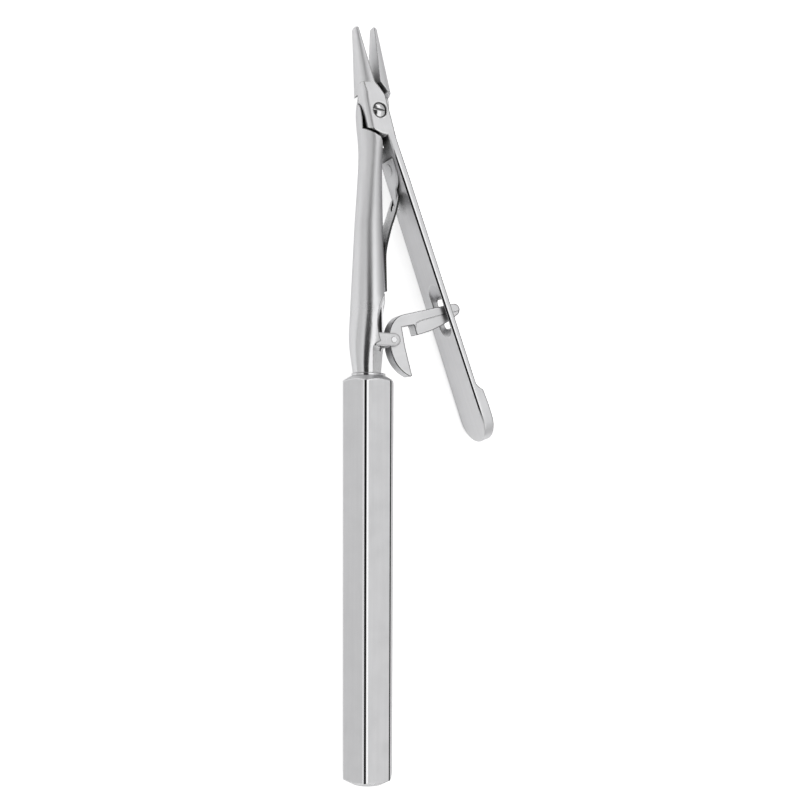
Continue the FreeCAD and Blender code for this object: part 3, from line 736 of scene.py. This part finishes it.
@dataclass(frozen=True)
class NeckFinish(SteelFinish):
    """Polished neck that turns to satin on the lap joint and the jaw."""

    satin_roughness: float = 0.50
    turn_start: float = 30.0
    turn_end: float = 70.0
    waist_shade: float = 0.25
    shade_run: float = 6.0
    foot_start: float = 38.0
    foot_end: float = 47.0
    foot_turn: float = 12.0

    def roughness_at(self, surface: Surface) -> Any:
        """Roughness by distance along the handle line."""
        return surface.sketch.spread(
            surface.along(), self.turn_start, self.turn_end, self.roughness, self.satin_roughness)

    def shade_at(self, surface: Surface) -> Any:
        """Strength of the deep shade: little at the waist, full at the lap joint and the jaw."""
        return surface.sketch.spread(
            surface.along(), self.turn_end, self.turn_end + self.shade_run, self.waist_shade, self.shade)

    def normal_at(self, surface: Surface) -> Socket:
        """Normal turned a little to the lever side at the foot, where the neck was ground flatter.

        Args:
            surface: the material being built.

        Returns:
            The normal's socket.
        """
        turn = surface.sketch.spread(
            surface.along(), self.foot_start, self.foot_end, math.radians(self.foot_turn), 0.0)
        return surface.sketch.turned(surface.edge.outputs["Normal"], turn, axis="Y_AXIS")


@dataclass(frozen=True)
class DressedNode:
    """A piece of the frame that keeps its solid shape and gets a finish."""

    node: str
    finish: SteelFinish

    def build(self, groups: ShaderGroups) -> None:
        """Give the node its finish.

        Args:
            groups: the shared shader groups.
        """
        piece = frame["nodes"][self.node]
        piece.data.materials.clear()
        piece.data.materials.append(self.finish.build(groups))
        LOG.info("dressed %s with %s", self.node, self.finish.name)


@dataclass(frozen=True)
class LeafShape:
    """Outline and bend of a leaf spring; lengths in millimetres."""

    path: list[Point]
    half_widths: list[Point]
    opening: list[Point]
    thickness: float = 0.36
    least_width: float = 0.02
    weld: float = 0.002
    edge_width: float = 0.07
    edge_segments: int = 2
    edge_angle: float = 50.0
    steps: int = 72
    columns: int = 7


def table_value(table: list[Point], at: float) -> float:
    """Value between the rows of a table.

    Args:
        table: pairs of position and value, in order.
        at: position to read.

    Returns:
        The value there, held at the table's ends.
    """
    if at <= table[0][0]:
        return table[0][1]
    for (start, low), (end, high) in zip(table, table[1:]):
        if at <= end:
            return low + (high - low) * (at - start) / (end - start)
    return table[-1][1]


def follow_path(points: list[Point], steps: int) -> list[Vector]:
    """Even points on a smooth curve through given ones.

    Args:
        points: points to pass.
        steps: number of spans between the returned points.

    Returns:
        The points in the XY plane.
    """
    padded = [2 * Vector(points[0]) - Vector(points[1])] + [Vector(p) for p in points]
    padded.append(2 * Vector(points[-1]) - Vector(points[-2]))
    dense: list[Vector] = []
    for a, b, c, d in zip(padded, padded[1:], padded[2:], padded[3:]):
        for k in range(PATH_SPANS):
            t = k / PATH_SPANS
            dense.append(0.5 * (2 * b + (c - a) * t + (2 * a - 5 * b + 4 * c - d) * t ** 2
                                + (3 * b - a - 3 * c + d) * t ** 3))
    dense.append(padded[-2])
    lengths = [0.0]
    for first, second in zip(dense, dense[1:]):
        lengths.append(lengths[-1] + (second - first).length)
    result: list[Vector] = []
    index = 0
    for k in range(steps + 1):
        target = lengths[-1] * k / steps
        while index < len(dense) - 2 and lengths[index + 1] < target:
            index += 1
        share = (target - lengths[index]) / (lengths[index + 1] - lengths[index])
        result.append(dense[index].lerp(dense[index + 1], min(1.0, max(0.0, share))))
    return result


@dataclass(frozen=True)
class LeafSpring:
    """A leaf spring that bends between the neck and the lever."""

    name: str
    node: str
    shape: LeafShape
    finish: SteelFinish
    root: Body
    tip: Body
    bend_start: Point
    bend_end: Point
    pivot: Point = (0.0, 0.0)
    turn: float = 0.0

    def build(self, groups: ShaderGroups) -> None:
        """Sweep the outline along the path.

        Args:
            groups: the shared shader groups.
        """
        mesh = bpy.data.meshes.new(self.name)
        form = bmesh.new()
        middle = follow_path(self.shape.path, self.shape.steps)
        for side in (-1, 1):
            rows = [self.row(form, here, side) for here in middle]
            for first, second in zip(rows, rows[1:]):
                for a, b, c, d in zip(first, first[1:], second[1:], second):
                    form.faces.new((a, b, c, d) if side > 0 else (d, c, b, a))
        bmesh.ops.remove_doubles(form, verts=form.verts, dist=self.shape.weld * MM)
        bmesh.ops.recalc_face_normals(form, faces=form.faces)
        form.to_mesh(mesh)
        form.free()
        piece = bpy.data.objects.new(self.name, mesh)
        show(piece)
        self.thicken(piece)
        place = Vector((*self.pivot, AXIS_HEIGHT)) * MM
        piece.data.transform(Matrix.Translation(place) @ Matrix.Rotation(math.radians(self.turn), 4, "Z"))
        piece.data.materials.append(self.finish.build(groups))
        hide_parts(self.node)
        ends = [(x * MM, y * MM, AXIS_HEIGHT * MM) for x, y in (self.bend_start, self.bend_end)]
        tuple(ends[0])
        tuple(ends[1])
        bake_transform(piece)
        LOG.info("built %s with %d faces", self.name, len(piece.data.polygons))

    def row(self, form: bmesh.types.BMesh, here: Vector, side: int) -> list[bmesh.types.BMVert]:
        """Vertices across one half of the leaf.

        Args:
            form: the mesh being built.
            here: point on the leaf's middle line.
            side: -1 or 1 for the lower or upper half.

        Returns:
            The row's vertices from the middle outwards.
        """
        inner = table_value(self.shape.opening, here.y)
        outer = max(table_value(self.shape.half_widths, here.y), inner + self.shape.least_width)
        made: list[bmesh.types.BMVert] = []
        for column in range(self.shape.columns + 1):
            across = inner + (outer - inner) * column / self.shape.columns
            made.append(form.verts.new((here.x * MM, here.y * MM, side * across * MM)))
        return made

    def thicken(self, piece: bpy.types.Object) -> None:
        """Give the sheet its thickness and softened edges, as real mesh.

        Args:
            piece: the leaf's object.
        """
        solid = piece.modifiers.new("thickness", "SOLIDIFY")
        solid.thickness = self.shape.thickness * MM
        solid.offset = 0.0
        solid.use_even_offset = True
        soft = piece.modifiers.new("edges", "BEVEL")
        soft.width = self.shape.edge_width * MM
        soft.segments = self.shape.edge_segments
        soft.limit_method = "ANGLE"
        soft.angle_limit = math.radians(self.shape.edge_angle)
        graph = bpy.context.evaluated_depsgraph_get()
        final = bpy.data.meshes.new_from_object(piece.evaluated_get(graph))
        piece.modifiers.clear()
        piece.data = final
        for polygon in final.polygons:
            polygon.use_smooth = True


@dataclass(frozen=True)
class NeedleHolder:
    """The whole instrument: finishes for the solid pieces and the two bending leaves."""

    handle: SteelFinish = HandleFinish(
        "satin_handle_steel", tone=0.74, roughness=0.46, grain_across=9.0, edge_radius=0.45,
        edge_roughness=0.08)
    neck: SteelFinish = NeckFinish(
        "polished_neck_steel", tone=0.80, roughness=0.09, rough_swing=0.03, grain_depth=0.0004,
        edge_radius=0.25, edge_dark_reflection=0.6, shade_reach=2.2, shade=0.85)
    lever: SteelFinish = LeverFinish(
        "satin_lever_steel", tone=0.82, roughness=0.44, grain=Grain.ALONG_LEVER, edge_radius=0.40,
        edge_roughness=0.08, edge_dark_reflection=0.5, shade=0.97, shade_closed=0.27)
    latch: SteelFinish = SteelFinish(
        "satin_latch_steel", tone=0.74, roughness=0.36, grain=Grain.ALONG_LATCH, edge_radius=0.38,
        edge_roughness=0.08, edge_dark_reflection=1.0)
    bright: SteelFinish = SteelFinish(
        "bright_pin_steel", tone=0.76, roughness=0.12, rough_swing=0.03, grain_depth=0.0004,
        edge_radius=0.05)
    spring: SteelFinish = LeafFinish(
        "spring_leaf_steel", tone=0.70, roughness=0.26, rough_swing=0.05, grain_depth=0.0006,
        edge_radius=0.04)
    flush: SteelFinish = SteelFinish(
        "satin_leaf_steel", tone=0.85, roughness=0.42, grain=Grain.ALONG_LEVER, edge_radius=0.04, crevice_shade=0.0,
        shade=0.5)
    foot: SteelFinish = SteelFinish(
        "satin_foot_steel", tone=0.98, roughness=0.36, edge_radius=0.05, crevice_shade=0.0, shade=0.5)

    def solids(self) -> list[DressedNode]:
        """The pieces that keep the frame's shape, each with its finish."""
        return [
            DressedNode("handle", self.handle),
            DressedNode("shank", self.neck),
            DressedNode("lever", self.lever),
            DressedNode("joint_screw", self.bright),
            DressedNode("latch", self.latch),
            DressedNode("latch_pin", self.bright),
            DressedNode("latch_spring", self.foot),
            DressedNode("neck_spring_rivet", self.bright),
            DressedNode("lever_spring_rivet", self.flush),
            DressedNode("latch_spring_rivet", self.bright),
        ]

    def neck_leaf(self) -> LeafSpring:
        """The long leaf, which rises from the neck and ends in a fork."""
        shape = LeafShape(
            path=[(2.4, 50.4), (2.358, 52.0), (2.316, 53.6), (2.274, 55.2), (2.263, 56.4), (2.36, 57.4),
                  (2.66, 58.9), (3.37, 61.4), (4.2, 63.7), (4.82, 65.8), (5.22, 67.3)],
            half_widths=[(50.4, 2.0), (59.0, 2.0), (64.5, 1.75), (66.1, 1.55), (66.9, 1.3), (67.3, 0.95)],
            opening=[(64.4, 0.0), (64.5, 0.2), (64.65, 0.44), (64.9, 0.62), (65.2, 0.72), (67.3, 0.72)],
        )
        return LeafSpring(
            "neck_leaf", "neck_spring", shape, self.spring, root=Body.HANDLE, tip=Body.LEVER,
            bend_start=(2.26, 56.4), bend_end=(6.28, 71.06))

    def lever_leaf(self) -> LeafSpring:
        """The short leaf, which leaves the lever and hooks its T head in the fork."""
        shape = LeafShape(
            path=[(-0.183, -7.9), (-0.183, -9.0), (-0.186, -10.2), (-0.21, -11.0), (-0.32, -11.9),
                  (-0.62, -13.2), (-1.03, -14.6), (-1.22, -15.3), (-1.43, -16.2)],
            half_widths=[(-16.2, 0.7), (-16.0, 0.95), (-15.6, 0.95), (-15.5, 0.54), (-12.9, 0.52),
                         (-12.5, 1.0), (-11.9, 1.5), (-11.0, 1.9), (-10.4, 2.0)],
            opening=[(-16.2, 0.0), (-7.9, 0.0)],
        )
        return LeafSpring(
            "lever_leaf", "lever_spring", shape, self.flush, root=Body.LEVER, tip=Body.HANDLE,
            bend_start=(4.37, 70.8), bend_end=(6.35, 56.96), pivot=LEVER_PIVOT, turn=LEVER_TURN)

    def build(self, groups: ShaderGroups) -> None:
        """Dress every solid piece and build the leaves.

        Args:
            groups: the shared shader groups.
        """
        for piece in (*self.solids(), self.neck_leaf(), self.lever_leaf()):
            piece.build(groups)


@dataclass(frozen=True)
class PhotoCamera:
    """Camera at the picture's viewing angle; millimetres, degrees and pixels of an 800 pixel frame."""

    place: tuple[float, float, float] = (-76.041, 20.084, 174.245)
    side_angle: float = 25.818
    tilt: float = 4.467
    roll: float = 0.259
    focal_pixels: float = 1060.0
    centre_drop: float = 150.9
    frame_pixels: float = 800.0
    sensor: float = 36.0
    nearest: float = 5.0

    def build(self) -> None:
        """Make the camera and set it active."""
        side, tilt, roll = (math.radians(v) for v in (self.side_angle, self.tilt, self.roll))
        back = Vector((-math.sin(side) * math.cos(tilt), math.sin(tilt), math.cos(side) * math.cos(tilt)))
        level = Vector((math.cos(side), 0.0, math.sin(side)))
        upright = back.cross(level)
        right = math.cos(roll) * level + math.sin(roll) * upright
        up = math.cos(roll) * upright - math.sin(roll) * level
        data = bpy.data.cameras.new("photo_camera")
        data.sensor_width = self.sensor
        data.lens = self.sensor * self.focal_pixels / self.frame_pixels
        data.shift_y = self.centre_drop / self.frame_pixels
        data.clip_start = self.nearest * MM
        camera = bpy.data.objects.new("photo_camera", data)
        basis = Matrix((right, up, back)).transposed().to_4x4()
        camera.matrix_world = Matrix.Translation(Vector(self.place) * MM) @ basis
        show(camera)
        bpy.context.scene.camera = camera


@dataclass(frozen=True)
class Studio:
    """Pale floor, soft light box overhead and a quiet surround; lengths in metres."""

    floor_size: float = 3.0
    floor_drop: float = 0.00003
    floor_tone: float = 0.86
    floor_lift: float = 0.72
    floor_mirrored: float = 0.36
    box_power: float = 1.85
    box_size: Point = (0.34, 1.6)
    box_place: tuple[float, float, float] = (0.175, 0.03, 0.60)
    end_wall: Point = (0.55, 0.85)
    end_tone: float = 0.5
    surround: tuple[Point, ...] = (
        (-180.0, 0.50), (-90.0, 0.60), (-60.0, 0.68), (-36.0, 0.86), (-33.0, 0.03), (-1.0, 0.03), (1.0, 0.05),
        (31.0, 0.10), (33.0, 0.85), (50.0, 0.62), (70.0, 0.45), (90.0, 0.30), (180.0, 0.40),
    )

    def build_floor(self) -> None:
        """Make the floor, white to the camera and keeping the object's shadow."""
        mesh = bpy.data.meshes.new("floor")
        form = bmesh.new()
        bmesh.ops.create_grid(form, x_segments=1, y_segments=1, size=self.floor_size / 2)
        form.to_mesh(mesh)
        form.free()
        floor = bpy.data.objects.new("floor", mesh)
        floor.location = (0.0, 0.0, -self.floor_drop)
        show(floor)
        material = bpy.data.materials.new("pale_floor")
        sketch = fresh_sketch(material)
        matte = sketch.add("BsdfDiffuse", {"Color": gray(self.floor_tone)})
        path = sketch.add("LightPath")
        straight = sketch.times(path.outputs["Is Camera Ray"], self.floor_lift)
        lift = sketch.math("MULTIPLY_ADD", path.outputs["Is Glossy Ray"], self.floor_mirrored, straight)
        glow = sketch.add("Emission", {"Color": WHITE, "Strength": lift})
        both = sketch.add("AddShader", {0: matte.outputs[0], 1: glow.outputs[0]})
        sketch.add("OutputMaterial", {0: both.outputs[0]})
        mesh.materials.append(material)

    def build_box(self) -> None:
        """Hang the large light box that draws the bright bands on polished steel."""
        data = bpy.data.lights.new("light_box", "AREA")
        data.shape = "RECTANGLE"
        data.size, data.size_y = self.box_size
        data.energy = self.box_power
        lamp = bpy.data.objects.new("light_box", data)
        lamp.location = self.box_place
        lamp.rotation_euler = (0.0, math.atan2(self.box_place[0], self.box_place[2]), 0.0)
        show(lamp)

    def build_surround(self) -> None:
        """Make the world: soft gray walls with a dark strip overhead, white to the camera."""
        world = bpy.data.worlds.new("surround")
        sketch = fresh_sketch(world)
        across, along, up = sketch.parts(sketch.add("TexCoord").outputs["Generated"])
        share = sketch.spread(sketch.math("ARCTAN2", across, up), -math.pi, math.pi)
        ramp = sketch.add("ValToRGB", {0: share})
        stops = ramp.color_ramp.elements
        while len(stops) < len(self.surround):
            stops.new(0.5)
        for stop, (angle, value) in zip(stops, self.surround):
            stop.position = (angle + 180.0) / 360.0
            stop.color = gray(value)
        far = sketch.spread(sketch.math("ABSOLUTE", along), *self.end_wall)
        walls = sketch.blend_colours(far, ramp.outputs[0], gray(self.end_tone))
        path = sketch.add("LightPath")
        seen = sketch.blend_colours(path.outputs["Is Camera Ray"], walls, WHITE)
        background = sketch.add("Background", {0: seen, 1: 1.0})
        sketch.add("OutputWorld", {0: background.outputs[0]})
        bpy.context.scene.world = world

    def build(self) -> None:
        """Build the floor, the light box and the surround."""
        self.build_floor()
        self.build_box()
        self.build_surround()
        bpy.context.scene.view_settings.view_transform = "Standard"
        LOG.info("built the studio")


def main() -> None:
    """Build the scene in order."""
    logging.basicConfig(level=logging.INFO, format="%(name)s: %(message)s")
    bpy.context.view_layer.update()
    NeedleHolder().build(ShaderGroups())
    Studio().build()
    PhotoCamera().build()


if __name__ == "__main__":
    main()
